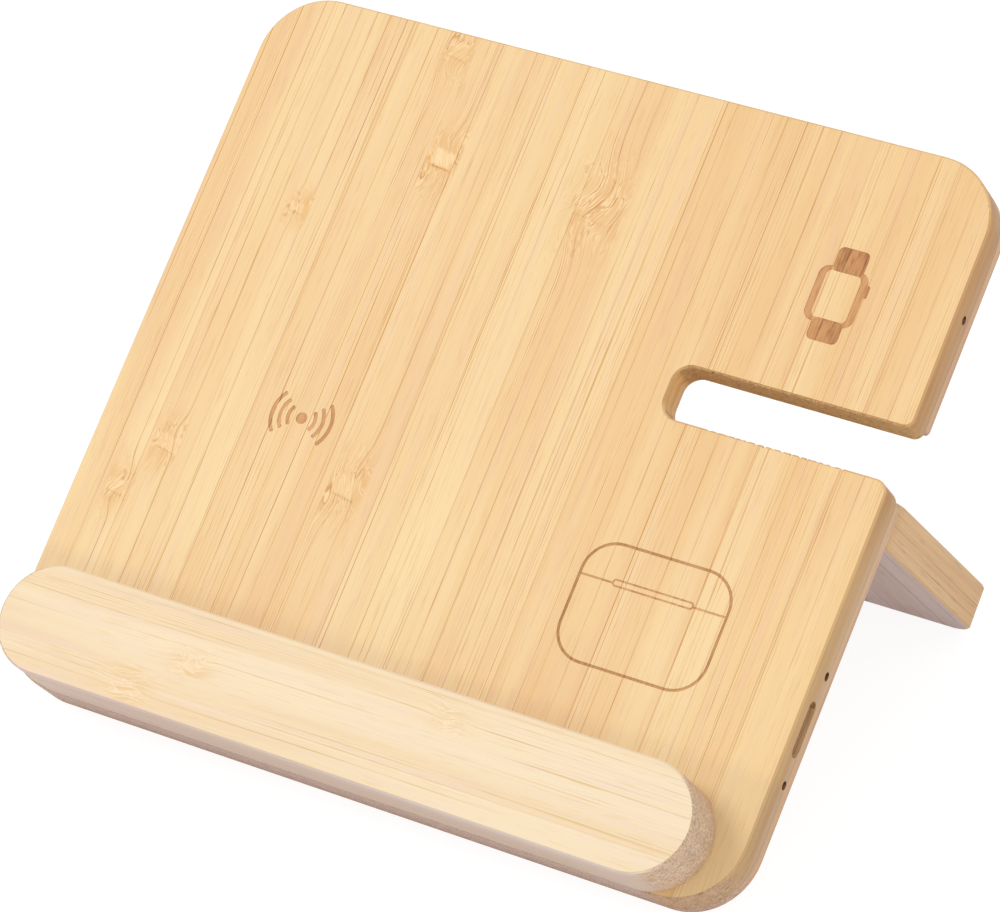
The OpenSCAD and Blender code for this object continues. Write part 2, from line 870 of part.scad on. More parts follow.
front_panel();
back_cover();
front_rail();
rail_screws();
cover_screws();
phone_coil();
phone_ferrite();
phone_lead();
earbuds_coil();
earbuds_ferrite();
earbuds_lead();
watch_coil();
watch_ferrite();
watch_magnet();
watch_lead();
circuit_board();
socket_shell();
socket_tongue();
controller_chips();
power_inductors();
tuning_capacitors();
phone_light();
earbuds_light();
watch_board();
watch_light();
left_hinge_fixed_leaf();
right_hinge_fixed_leaf();
left_hinge_pin();
right_hinge_pin();
hinge_cover_screws();
rear_leg();
left_hinge_leg_leaf();
right_hinge_leg_leaf();
hinge_leg_screws();
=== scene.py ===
import json
import math
import random

import bpy
from mathutils import Matrix, Vector


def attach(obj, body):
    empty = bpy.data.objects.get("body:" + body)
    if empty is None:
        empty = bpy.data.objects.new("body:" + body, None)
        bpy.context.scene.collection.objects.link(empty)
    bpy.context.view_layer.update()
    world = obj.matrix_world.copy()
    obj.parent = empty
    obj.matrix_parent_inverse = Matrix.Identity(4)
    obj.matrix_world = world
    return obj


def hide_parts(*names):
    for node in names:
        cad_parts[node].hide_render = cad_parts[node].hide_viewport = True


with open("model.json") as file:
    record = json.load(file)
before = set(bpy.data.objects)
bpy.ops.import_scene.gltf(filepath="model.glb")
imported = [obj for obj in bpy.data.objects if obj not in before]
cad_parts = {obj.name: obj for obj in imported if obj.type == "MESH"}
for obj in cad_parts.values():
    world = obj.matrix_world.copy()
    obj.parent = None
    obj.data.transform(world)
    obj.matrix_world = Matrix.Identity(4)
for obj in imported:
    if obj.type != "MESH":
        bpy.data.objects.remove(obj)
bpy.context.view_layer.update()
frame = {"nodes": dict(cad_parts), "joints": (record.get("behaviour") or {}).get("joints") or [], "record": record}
bpy.ops.object.select_all(action="DESELECT")
scene = bpy.context.scene

# Front board: laminated bamboo, milled from behind and open at the strap slot.
# Strips about 18 mm wide are glued edge to edge, with their grain up the panel.
# Its marks are burnt a tenth of a millimetre deep into the sanded face.
face = next(m for m in frame["record"]["mounts"] if m["name"] == "charging_face")
lean = math.atan2(-face["axis"][1], face["axis"][2])
across = Vector((1, 0, 0))
up_panel = Vector((0, math.cos(lean), math.sin(lean)))
outward = Vector(face["axis"])
face_corner = Vector(face["pos_m"]) - 0.044 * across - 0.070 * up_panel
panel_place = Matrix((across, up_panel, outward)).transposed().to_4x4()
panel_place.translation = face_corner


def stain(red, green, blue):
    """A colour as a painter reads it, 0 to 255, for a shader."""
    return tuple(
        (c / 255 / 12.92) if c <= 10 else ((c / 255 + 0.055) / 1.055) ** 2.4
        for c in (red, green, blue)
    ) + (1.0,)


def add_node(tree, kind, links=None, **values):
    """A node with its properties set and its inputs filled or linked."""
    node = tree.nodes.new(kind)
    for key, value in values.items():
        setattr(node, key, value)
    for key, value in (links or {}).items():
        if isinstance(value, bpy.types.NodeSocket):
            tree.links.new(value, node.inputs[key])
        else:
            node.inputs[key].default_value = value
    return node


def blend_colour(tree, factor, low, high, how="MIX"):
    """One colour over another; a colour mix has its sockets at 0, 6, 7 and 2."""
    node = add_node(tree, "ShaderNodeMix", data_type="RGBA", blend_type=how)
    for socket, value in ((0, factor), (6, low), (7, high)):
        if isinstance(value, bpy.types.NodeSocket):
            tree.links.new(value, node.inputs[socket])
        else:
            node.inputs[socket].default_value = value
    return node.outputs[2]


def reckon(tree, how, first, second=0.0, third=0.0, clamp=False):
    """One step of arithmetic on numbers that change over the surface."""
    links = {0: first, 1: second, 2: third}
    return add_node(tree, "ShaderNodeMath", links, operation=how, use_clamp=clamp).outputs[0]


def between(tree, value, low, high, out_low=0.0, out_high=1.0):
    """The value, spread from low..high to out_low..out_high with soft ends."""
    links = {"Value": value, "From Min": low, "From Max": high, "To Min": out_low, "To Max": out_high}
    return add_node(tree, "ShaderNodeMapRange", links, interpolation_type="SMOOTHSTEP").outputs[0]


def stretched(tree, place, scale, detail=2.0, rough=0.5, warp=0.0):
    """Noise whose spots are stretched along the grain by the scale's shares."""
    spread = add_node(tree, "ShaderNodeVectorMath", {0: place, 1: scale}, operation="MULTIPLY")
    links = {"Vector": spread.outputs[0], "Scale": 1.0, "Detail": detail,
             "Roughness": rough, "Distortion": warp}
    return add_node(tree, "ShaderNodeTexNoise", links).outputs[0]


def new_group(name, inputs, outputs):
    """A shader group with named sockets; each input starts at its given value."""
    group = bpy.data.node_groups.new(name, "ShaderNodeTree")
    for label, start in inputs:
        kind = "NodeSocketFloat" if isinstance(start, float) else (
            "NodeSocketColor" if len(start) == 4 else "NodeSocketVector")
        socket = group.interface.new_socket(name=label, in_out="INPUT", socket_type=kind)
        socket.default_value = start
    for label, kind in outputs:
        group.interface.new_socket(name=label, in_out="OUTPUT", socket_type="NodeSocket" + kind)
    return group, group.nodes.new("NodeGroupInput").outputs, group.nodes.new("NodeGroupOutput").inputs


# Strips: where each strip lies across the grain, and the glue line beside it.
strips_group, given, result = new_group(
    "glued strips",
    [("Place", (0.0, 0.0, 0.0)), ("Strip Width", 18.0)],
    [("Draw", "Color"), ("Seam", "Float")])
tree = strips_group
place = add_node(tree, "ShaderNodeSeparateXYZ", {0: given["Place"]}).outputs
strip_at = reckon(tree, "DIVIDE", place[0], given["Strip Width"])
strip = add_node(tree, "ShaderNodeTexVoronoi", {"W": strip_at, "Scale": 1.0, "Randomness": 0.6},
                 voronoi_dimensions="1D", feature="F1").outputs
seam = add_node(tree, "ShaderNodeTexVoronoi", {"W": strip_at, "Scale": 1.0, "Randomness": 0.6},
                voronoi_dimensions="1D", feature="DISTANCE_TO_EDGE").outputs
tree.links.new(strip["Color"], result["Draw"])
tree.links.new(between(tree, seam["Distance"], 0.0, 0.01, 1.0, 0.0), result["Seam"])

# Culm node: the ring of a bamboo stalk, where a strip's fibres bend and cross.
knots_group, given, result = new_group(
    "culm node",
    [("Place", (0.0, 0.0, 0.0)), ("Centre", (0.0, 0.0, 0.0)), ("Half Width", 3.3), ("Reach", 9.0),
     ("Bend", 0.8), ("Ridge", 1.0), ("Knot Before", 0.0), ("Sway Before", 0.0), ("Ledge Before", 0.0)],
    [("Knot", "Float"), ("Sway", "Float"), ("Ledge", "Float")])
tree = knots_group
away = add_node(tree, "ShaderNodeVectorMath", {0: given["Place"], 1: given["Centre"]}, operation="SUBTRACT")
away = add_node(tree, "ShaderNodeSeparateXYZ", {0: away.outputs[0]}).outputs
side_way = reckon(tree, "DIVIDE", away[0], given["Half Width"])
long_way = reckon(tree, "DIVIDE", away[1], given["Reach"])
beside = reckon(tree, "ABSOLUTE", side_way)
own = between(tree, beside, 0.7, 1.1, 1.0, 0.0)
bell = reckon(tree, "EXPONENT", reckon(tree, "MULTIPLY", reckon(tree, "MULTIPLY", long_way, long_way), -3.0))
bell = reckon(tree, "MULTIPLY", bell, own)
room = reckon(tree, "SUBTRACT", 1.0, reckon(tree, "MULTIPLY", side_way, side_way), clamp=True)
wave = reckon(tree, "SINE", reckon(tree, "MULTIPLY", long_way, 3.6))
wave = reckon(tree, "MULTIPLY_ADD", side_way, 1.3, wave)
sway = reckon(tree, "MULTIPLY", reckon(tree, "MULTIPLY", bell, room), reckon(tree, "MULTIPLY", wave, given["Bend"]))
level = reckon(tree, "MULTIPLY_ADD", side_way, 0.05, long_way)
step = between(tree, reckon(tree, "ABSOLUTE", reckon(tree, "ADD", level, 0.17)), 0.0, 0.035, 1.0, 0.0)
patch = between(tree, reckon(tree, "ABSOLUTE", level), 0.09, 0.19, 1.0, 0.0)
ledge = reckon(tree, "SUBTRACT", reckon(tree, "MULTIPLY", step, 0.7), patch)
ledge = reckon(tree, "MULTIPLY", ledge, between(tree, beside, 0.3, 0.8, 1.0, 0.0))
ledge = reckon(tree, "MULTIPLY", ledge, given["Ridge"])
tree.links.new(reckon(tree, "ADD", bell, given["Knot Before"]), result["Knot"])
tree.links.new(reckon(tree, "ADD", sway, given["Sway Before"]), result["Sway"])
tree.links.new(reckon(tree, "ADD", ledge, given["Ledge Before"]), result["Ledge"])

# Grain: straight fibres along the strip, dots on the end grain, toasted edges, and painted light and shade on sides,
# undersides and parts of the board.
grain_group, given, result = new_group(
    "bamboo grain",
    [("Place", (0.0, 0.0, 0.0)), ("Facing", (0.0, 0.0, 1.0)), ("Draw", (0.5, 0.5, 0.5, 1.0)),
     ("Seam", 0.0), ("Knot", 0.0), ("Sway", 0.0), ("Ledge", 0.0),
     ("Pale", stain(250, 219, 168)), ("Warm", stain(243, 203, 148)), ("Fibre", stain(208, 142, 64)),
     ("Far Shade", stain(255, 255, 255)), ("Side", stain(235, 222, 210)),
     ("Rear Side", stain(235, 222, 210)), ("Under Shade", stain(255, 255, 255)),
     ("End Pale", stain(219, 198, 180)), ("End Dark", stain(174, 142, 114)),
     ("High End", stain(255, 255, 255)), ("Foot Light", stain(255, 255, 255)),
     ("Edge", stain(246, 228, 206)), ("Slot End Light", stain(255, 255, 255)), ("High Side", stain(255, 255, 255)),
     ("Side Wear", (0.86, 0.8, 0.74, 1.0)), ("Ease", 0.44), ("Rim Relief", 0.7), ("Side Lines", 0.8),
     ("Rail Shade", stain(255, 255, 255)), ("End Turn", 0.72), ("Corner End", stain(255, 255, 255)),
     ("Thread Strength", 0.7), ("Breaks", 0.45), ("Scars", 0.7), ("Char", 0.0)],
    [("Color", "Color"), ("Height", "Float"), ("Roughness", "Float")])
tree = grain_group
place = add_node(tree, "ShaderNodeSeparateXYZ", {0: given["Place"]}).outputs
draw = add_node(tree, "ShaderNodeSeparateColor", {0: given["Draw"]}).outputs
facing = add_node(tree, "ShaderNodeSeparateXYZ", {0: given["Facing"]}).outputs
drift = stretched(tree, given["Place"], (0.03, 0.009, 0.03), detail=1.0)
grain_x = reckon(tree, "ADD", reckon(tree, "MULTIPLY_ADD", drift, 1.6, place[0]), given["Sway"])
grain_y = reckon(tree, "MULTIPLY_ADD", draw[1], 900.0, place[1])
grain_z = reckon(tree, "MULTIPLY_ADD", draw[2], 60.0, place[2])
fibre_place = add_node(tree, "ShaderNodeCombineXYZ", {0: grain_x, 1: grain_y, 2: grain_z}).outputs[0]
thread = stretched(tree, fibre_place, (1.3, 0.008, 1.3), detail=1.5, rough=0.6)
cloud = stretched(tree, fibre_place, (0.13, 0.006, 0.13), detail=2.0)
fleck = stretched(tree, fibre_place, (2.2, 0.12, 2.2), detail=1.0, rough=0.6)
crinkle = stretched(tree, fibre_place, (0.8, 0.13, 0.8), detail=2.0, rough=0.45, warp=0.45)
dot = stretched(tree, given["Place"], (2.3, 0.8, 2.3), detail=3.5, rough=0.7)
count = reckon(tree, "MULTIPLY_ADD", grain_z, 1.37, grain_x)
fine = add_node(tree, "ShaderNodeTexVoronoi", {"W": count, "Scale": 1.15}, voronoi_dimensions="1D",
                feature="DISTANCE_TO_EDGE").outputs["Distance"]
sparse = add_node(tree, "ShaderNodeTexVoronoi", {"W": count, "Scale": 0.25}, voronoi_dimensions="1D",
                  feature="DISTANCE_TO_EDGE").outputs["Distance"]

above = between(tree, place[1], 70, 95)
flat = reckon(tree, "ABSOLUTE", facing[2])
edge = between(tree, reckon(tree, "SUBTRACT", 1.0, flat), reckon(tree, "MULTIPLY", given["Ease"], 0.3),
               given["Ease"])
# Rims that face up the panel catch light, so they keep less of the side colours and edge line, which are partly
# painted shade.
rim = reckon(tree, "MAXIMUM", between(tree, facing[1], 0.05, 0.4), between(tree, facing[0], -0.4, -0.05, 1.0, 0.0))
rim = reckon(tree, "MULTIPLY", rim, between(tree, flat, 0.2, 0.5))
relief = reckon(tree, "SUBTRACT", 1.0, reckon(tree, "MULTIPLY", rim, given["Rim Relief"]))
edge = reckon(tree, "MULTIPLY", edge, relief)
tone = reckon(tree, "MULTIPLY_ADD", draw[0], 0.38, reckon(tree, "MULTIPLY_ADD", cloud, 1.8, -0.6))
wood = blend_colour(tree, between(tree, tone, 0.1, 0.9), given["Pale"], given["Warm"])
# Painted shade: the colour is multiplied by a tint that comes in from x 70 mm to x 165 mm.
wood = blend_colour(tree, between(tree, place[0], 70, 165), wood,
                    blend_colour(tree, 1.0, wood, given["Far Shade"], "MULTIPLY"))
# Painted light: the board is lightened from y 90 mm down to y 20 mm, fading out between x 145 and 168 mm.
foot_light_mask = between(tree, place[1], 20, 90, 1.0, 0.0)
foot_light_mask = reckon(tree, "MULTIPLY", foot_light_mask, between(tree, place[0], 145, 168, 1.0, 0.0))
wood = blend_colour(tree, foot_light_mask, wood, blend_colour(tree, 1.0, wood, given["Foot Light"], "MULTIPLY"))
# Painted shade: the band just above the rail, from y 26.5 to 31 mm, is darkened.
wood = blend_colour(tree, between(tree, place[1], 26.5, 31, 1.0, 0.0), wood, given["Rail Shade"], "MULTIPLY")
wear = stretched(tree, fibre_place, (0.5, 0.02, 0.9), detail=3.0, rough=0.6)
wood = blend_colour(tree, between(tree, wear, 0.45, 0.7), wood, (0.98, 0.95, 1.04, 1.0), "MULTIPLY")
bunch = stretched(tree, fibre_place, (0.32, 0.004, 0.32), detail=1.5)
busy = between(tree, reckon(tree, "MULTIPLY_ADD", draw[2], 0.12, bunch), 0.46, 0.66, 0.08, 1.0)
busy = reckon(tree, "MAXIMUM", busy, given["Knot"])
busy = reckon(tree, "MAXIMUM", busy, reckon(tree, "MULTIPLY", edge, given["Side Lines"]))
alive = reckon(tree, "MULTIPLY", busy, between(tree, thread, 0.4, 0.62, 0.0, 1.0))
fine_line = reckon(tree, "MULTIPLY", between(tree, fine, 0.02, 0.13, 1.0, 0.0), alive)
pores = between(tree, fleck, 0.4, 0.62, 0.5, 1.0)
fine_line = reckon(tree, "MULTIPLY", fine_line, pores)
near = reckon(tree, "ABSOLUTE", reckon(tree, "SUBTRACT", fine, 0.26))
light_line = reckon(tree, "MULTIPLY", between(tree, near, 0.02, 0.13, 1.0, 0.0), alive)
long_line = between(tree, sparse, 0.008, 0.035, 1.0, 0.0)
long_line = reckon(tree, "MULTIPLY", long_line, between(tree, thread, 0.4, 0.56, 0.1, 1.0))
dash = between(tree, stretched(tree, fibre_place, (0.6, 0.03, 0.6), detail=2.0), 0.4, 0.6, 1.0, 0.0)
whole = reckon(tree, "SUBTRACT", 1.0, reckon(tree, "MULTIPLY", dash, given["Breaks"]))
fine_line = reckon(tree, "MULTIPLY", fine_line, whole)
long_line = reckon(tree, "MULTIPLY", long_line, whole)
long_line = reckon(tree, "MULTIPLY", long_line, reckon(tree, "MULTIPLY_ADD", given["Knot"], -0.7, 1.0), clamp=True)
seam_line = reckon(tree, "MULTIPLY", given["Seam"], between(tree, draw[1], 0.2, 0.6, 0.4, 1.0))
crossing = reckon(tree, "ABSOLUTE", reckon(tree, "SUBTRACT", crinkle, 0.5))
scar = reckon(tree, "MULTIPLY", between(tree, crossing, 0.0, 0.04, 1.0, 0.0), given["Knot"])
bare = reckon(tree, "MAXIMUM", reckon(tree, "MULTIPLY", given["Ledge"], -1.0), 0.0)
amount = reckon(tree, "MULTIPLY_ADD", fine_line, 0.85, reckon(tree, "MULTIPLY", long_line, 0.85))
amount = reckon(tree, "MULTIPLY_ADD", between(tree, fleck, 0.58, 0.7), 0.16, amount)
soot = stretched(tree, fibre_place, (1.1, 0.2, 1.1), detail=3.0, rough=0.65)
amount = reckon(tree, "MULTIPLY_ADD", between(tree, soot, 0.42, 0.66), given["Char"], amount)
amount = reckon(tree, "MULTIPLY_ADD", seam_line, 0.75, amount)
amount = reckon(tree, "MULTIPLY_ADD", scar, given["Scars"], amount)
amount = reckon(tree, "MULTIPLY_ADD", given["Knot"], 0.1, amount)
amount = reckon(tree, "MULTIPLY", amount, reckon(tree, "SUBTRACT", 1.0, reckon(tree, "MULTIPLY", bare, 0.8)))
amount = reckon(tree, "ADD", amount, reckon(tree, "MAXIMUM", given["Ledge"], 0.0))
amount = reckon(tree, "MULTIPLY", amount, given["Thread Strength"], clamp=True)
# Pale lines beside the dark fibres and along knot ridges are partly pale fibre and partly painted sheen.
pale_fibre_and_sheen = blend_colour(tree, 1.0, given["Pale"], (1.08, 1.08, 1.14, 1.0), "MULTIPLY")
tan = blend_colour(tree, 1.0, given["Warm"], (0.98, 0.89, 0.7, 1.0), "MULTIPLY")
smudge = reckon(tree, "MULTIPLY", given["Knot"], between(tree, wear, 0.42, 0.58, 0.1, 0.85))
wood = blend_colour(tree, smudge, wood, tan)
ridge = reckon(tree, "MULTIPLY", between(tree, crossing, 0.05, 0.1, 0.8, 0.0), given["Knot"])
light = reckon(tree, "MULTIPLY_ADD", light_line, 0.6, reckon(tree, "MULTIPLY", bare, 0.5))
light = reckon(tree, "ADD", light, ridge, clamp=True)
wood = blend_colour(tree, light, wood, pale_fibre_and_sheen)
wood = blend_colour(tree, amount, wood, given["Fibre"])

# Painted shade: faces that look down are multiplied by a cooler tone, as light from below would give them.
wood = blend_colour(tree, between(tree, facing[2], -0.97, -0.8, 1.0, 0.0), wood, given["Under Shade"], "MULTIPLY")
# Faces turned away from the front are multiplied by the side colours, which are partly the edge grain's own colour
# and partly painted shade.
layer = between(tree, reckon(tree, "MULTIPLY_ADD", drift, 1.5, place[2]), -4.6, -3.6)
side = blend_colour(tree, layer, given["Rear Side"], given["Side"])
worn = reckon(tree, "MULTIPLY", between(tree, wear, 0.42, 0.7), reckon(tree, "MULTIPLY_ADD", above, 0.5, 0.5))
side = blend_colour(tree, worn, side, given["Side Wear"], "MULTIPLY")
side = blend_colour(tree, above, side, given["High Side"], "MULTIPLY")
wood = blend_colour(tree, edge, wood, side, "MULTIPLY")
# Painted light: faces that look along +x, left of x 160 mm, such as the slot's inner end wall, are lightened.
slot_end_lit = reckon(tree, "MULTIPLY", between(tree, facing[0], 0.72, 0.95), between(tree, place[0], 150, 160, 1.0, 0.0))
wood = blend_colour(tree, slot_end_lit, wood, blend_colour(tree, 1.0, wood, given["Slot End Light"], "MULTIPLY"))
downward = reckon(tree, "MULTIPLY_ADD", above, 0.25, reckon(tree, "ADD", facing[1], -0.25))
ends = between(tree, downward, -0.8, -0.45, 1.0, 0.0)
turn = reckon(tree, "SUBTRACT", facing[1], given["End Turn"])
ends = reckon(tree, "MAXIMUM", ends, between(tree, turn, 0.0, 0.23))
end_wood = blend_colour(tree, between(tree, dot, 0.38, 0.66), given["End Pale"], given["End Dark"])
inward = reckon(tree, "MULTIPLY", above, between(tree, facing[1], -0.3, 0.3, 1.0, 0.0))
end_wood = blend_colour(tree, inward, end_wood, given["High End"], "MULTIPLY")
corner = reckon(tree, "MULTIPLY", between(tree, place[0], 150, 158), reckon(tree, "SUBTRACT", 1.0, above))
end_wood = blend_colour(tree, corner, end_wood, given["Corner End"], "MULTIPLY")
patchy = between(tree, stretched(tree, given["Place"], (0.45, 0.45, 0.45), detail=1.0), 0.38, 0.62)
patch_tint = blend_colour(tree, patchy, (1.04, 1.03, 1.02, 1.0), (0.94, 0.945, 0.92, 1.0))
end_wood = blend_colour(tree, 1.0, end_wood, patch_tint, "MULTIPLY")
wood = blend_colour(tree, ends, wood, end_wood)
# The edge line is partly a toasted line along the face, partly painted shade that darkens the chamfers where they
# would catch light.
toast_and_chamfer_shade = reckon(tree, "MULTIPLY", reckon(tree, "MULTIPLY", edge, reckon(tree, "SUBTRACT", 1.0, edge)), 1.5)
wood = blend_colour(tree, toast_and_chamfer_shade, wood, given["Edge"], "MULTIPLY")
tree.links.new(wood, result["Color"])
height = reckon(tree, "MULTIPLY_ADD", fine_line, -0.3, reckon(tree, "MULTIPLY", scar, -0.25))
height = reckon(tree, "MULTIPLY_ADD", long_line, -0.4, height)
height = reckon(tree, "MULTIPLY_ADD", ends, reckon(tree, "MULTIPLY", dot, 0.9), height)
tree.links.new(height, result["Height"])
tree.links.new(between(tree, reckon(tree, "ADD", thread, ends), 0.3, 1.4, 0.45, 0.8), result["Roughness"])


def bamboo(name, origin, turn, strip_width, palette, strength, knots=()):
    """A bamboo finish: origin and turn, in metres, lay the grain along y."""
    material = bpy.data.materials.new(name)
    material.use_nodes = True
    tree = material.node_tree
    shader = tree.nodes["Principled BSDF"]
    coordinates = add_node(tree, "ShaderNodeTexCoord").outputs
    place = add_node(tree, "ShaderNodeMapping", {
        "Vector": coordinates["Object"], "Location": origin, "Rotation": turn,
        "Scale": (0.001, 0.001, 0.001)}, vector_type="TEXTURE").outputs[0]
    facing = add_node(tree, "ShaderNodeMapping", {
        "Vector": coordinates["Normal"], "Rotation": turn}, vector_type="TEXTURE").outputs[0]
    strips = add_node(tree, "ShaderNodeGroup", node_tree=strips_group)
    strips.inputs["Strip Width"].default_value = strip_width
    tree.links.new(place, strips.inputs["Place"])
    grain = add_node(tree, "ShaderNodeGroup", node_tree=grain_group)
    if knots:
        spread = add_node(tree, "ShaderNodeVectorMath", {0: place, 1: (0.3, 0.3, 0.3)}, operation="MULTIPLY")
        wobble = add_node(tree, "ShaderNodeTexNoise", {"Vector": spread.outputs[0], "Scale": 1.0}).outputs["Color"]
        level = add_node(tree, "ShaderNodeVectorMath", {0: place, 1: (-0.35, -0.5, 0.0)}, operation="ADD").outputs[0]
        wavy = add_node(tree, "ShaderNodeVectorMath", {0: wobble, 1: (0.7, 1.0, 0.0), 2: level},
                        operation="MULTIPLY_ADD").outputs[0]
    last = None
    for centre_x, centre_y, half_width, reach, bend, ridge in knots:
        knot = add_node(tree, "ShaderNodeGroup", node_tree=knots_group)
        tree.links.new(wavy, knot.inputs["Place"])
        knot.inputs["Ridge"].default_value = ridge
        knot.inputs["Centre"].default_value = (centre_x, centre_y, 0.0)
        knot.inputs["Half Width"].default_value = half_width
        knot.inputs["Reach"].default_value = reach
        knot.inputs["Bend"].default_value = bend
        if last:
            for label in ("Knot", "Sway", "Ledge"):
                tree.links.new(last.outputs[label], knot.inputs[label + " Before"])
        last = knot
    if last:
        for label in ("Knot", "Sway", "Ledge"):
            tree.links.new(last.outputs[label], grain.inputs[label])
    tree.links.new(place, grain.inputs["Place"])
    tree.links.new(facing, grain.inputs["Facing"])
    tree.links.new(strips.outputs["Draw"], grain.inputs["Draw"])
    tree.links.new(strips.outputs["Seam"], grain.inputs["Seam"])
    for label, value in palette.items():
        grain.inputs[label].default_value = value
    grain.inputs["Thread Strength"].default_value = strength
    tree.links.new(grain.outputs["Color"], shader.inputs["Base Color"])
    tree.links.new(grain.outputs["Roughness"], shader.inputs["Roughness"])
    bump = add_node(tree, "ShaderNodeBump", {
        "Height": grain.outputs["Height"], "Strength": 0.3, "Distance": 0.0002})
    tree.links.new(bump.outputs[0], shader.inputs["Normal"])
    shader.inputs["Specular IOR Level"].default_value = 0.3
    return material


up_grain = (lean, 0.0, 0.0)
# Painted light and shade in the panel's finish: the board is lightened low down and on the slot's inner end wall,
# darkened just above the rail, dimmed slightly from x 70 mm on, and its side colours are partly edge grain, partly
# painted shade.
panel_colours = {
    "Pale": stain(249, 214, 158), "Warm": stain(242, 198, 140), "Fibre": stain(206, 140, 70),
    "Far Shade": stain(255, 253, 249), "Foot Light": (1.04, 1.1, 1.15, 1.0),
    "Rail Shade": (0.92, 0.93, 0.96, 1.0), "Slot End Light": (1.56, 1.75, 1.57, 1.0), "High Side": (0.92, 0.83, 0.73, 1.0),
    "Side": (0.713, 0.628, 0.541, 1.0), "Rear Side": (0.7, 0.675, 0.78, 1.0),
    "End Pale": stain(217, 193, 183), "End Dark": stain(182, 150, 130), "High End": (1.0, 0.81, 0.41, 1.0),
    "Corner End": (0.97, 0.84, 0.61, 1.0)}
panel_knots = (
    (44.8, 155, 4, 11, -1.6, 0.4), (51.3, 131.5, 4, 13, 1.9, 1.0), (88, 130, 7.5, 18, -2.2, 0.2),
    (24, 113, 3, 7, 0.6, 0.4), (17.2, 57, 3.5, 10, 1.3, 0.6), (10.5, 45, 3.5, 10, -1.2, 0.4),
    (60, 59, 4.5, 14, 1.8, 0.5))
panel_bamboo = bamboo("panel bamboo", face_corner, up_grain, 18.0, panel_colours, 0.9, panel_knots)
line_burn = bamboo("line burn", face_corner, up_grain, 18.0, {
    "Pale": stain(214, 160, 98), "Warm": stain(198, 142, 82), "Fibre": stain(156, 98, 48),
    "Side": stain(250, 244, 240), "Char": 0.5}, 0.9)
light_burn = bamboo("light burn", face_corner, up_grain, 18.0, {
    "Pale": stain(230, 178, 116), "Warm": stain(214, 156, 98), "Fibre": stain(184, 118, 62),
    "Side": stain(250, 244, 240), "Char": 0.6}, 0.9)
strap_burn = bamboo("strap burn", face_corner, up_grain, 18.0, {
    "Pale": stain(214, 154, 96), "Warm": stain(198, 134, 80), "Fibre": stain(146, 88, 44),
    "Side": stain(250, 244, 240), "Char": 0.6}, 1.0)
# Pinhole walls: a dark brown that is painted shade.
pinhole_shade = bamboo("shaded drilled bamboo", face_corner, up_grain, 18.0, {
    "Pale": stain(168, 124, 96), "Warm": stain(150, 106, 80), "Fibre": stain(104, 70, 50),
    "End Pale": stain(128, 90, 68), "End Dark": stain(96, 62, 46)}, 1.0)
slot_burn = bamboo("milled bamboo", face_corner, up_grain, 18.0, {
    "Pale": stain(236, 192, 142), "Warm": stain(222, 172, 118), "Fibre": stain(160, 110, 62),
    "End Pale": stain(204, 156, 104), "End Dark": stain(150, 104, 64)}, 1.0)

board = frame["nodes"]["front_panel"].copy()
board.data = board.data.copy()
board.name = "engraved_front_board"
for key in [k for k in board.keys() if k.startswith("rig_")]:
    del board[key]
board.parent = None
scene.collection.objects.link(board)
board.data.materials.clear()
board.data.materials.append(panel_bamboo)
bpy.context.view_layer.objects.active = board
board.select_set(True)
bpy.ops.mesh.customdata_custom_splitnormals_clear()
bpy.ops.object.mode_set(mode="EDIT")
bpy.ops.mesh.select_all(action="SELECT")
bpy.ops.mesh.remove_doubles(threshold=1e-6)
bpy.ops.object.mode_set(mode="OBJECT")
board.select_set(False)

burn_depth = 0.1
cutter_height = 1.0
marks = []


def sink_mark(name, x, y, finish, depth=burn_depth):
    """Gives the flat mark under edit its depth, and its place in millimetres."""
    bpy.ops.mesh.select_all(action="SELECT")
    bpy.ops.mesh.extrude_region_move(TRANSFORM_OT_translate={"value": (0, 0, cutter_height)})
    bpy.ops.mesh.select_all(action="SELECT")
    bpy.ops.mesh.normals_make_consistent(inside=False)
    bpy.ops.object.mode_set(mode="OBJECT")
    mark = bpy.context.active_object
    mark.name = name
    to_metres = Matrix.Diagonal((0.001, 0.001, 0.001, 1))
    mark.data.transform(panel_place @ to_metres @ Matrix.Translation((x, y, -depth)))
    mark.data.materials.append(finish)
    mark.select_set(False)
    marks.append(mark)


def plate_mark(name, x, y, width, length, radius, finish, line=None, depth=burn_depth, narrow=1.0):
    """A flat mark in millimetres on the panel: a round-cornered plate or its outline."""
    bpy.ops.mesh.primitive_plane_add(size=1)
    bpy.context.active_object.data.transform(Matrix.Diagonal((width, length, 1, 1)))
    bpy.ops.object.mode_set(mode="EDIT")
    if radius:
        bpy.ops.mesh.select_all(action="SELECT")
        bpy.ops.mesh.bevel(offset=radius, segments=10, affect="VERTICES")
    if line:
        bpy.ops.mesh.select_all(action="SELECT")
        bpy.ops.mesh.inset(thickness=line, depth=0)
        bpy.ops.transform.resize(value=(narrow, 1, 1), center_override=(0, 0, 0))
        bpy.ops.mesh.delete(type="FACE")
    sink_mark(name, x, y, finish, depth)


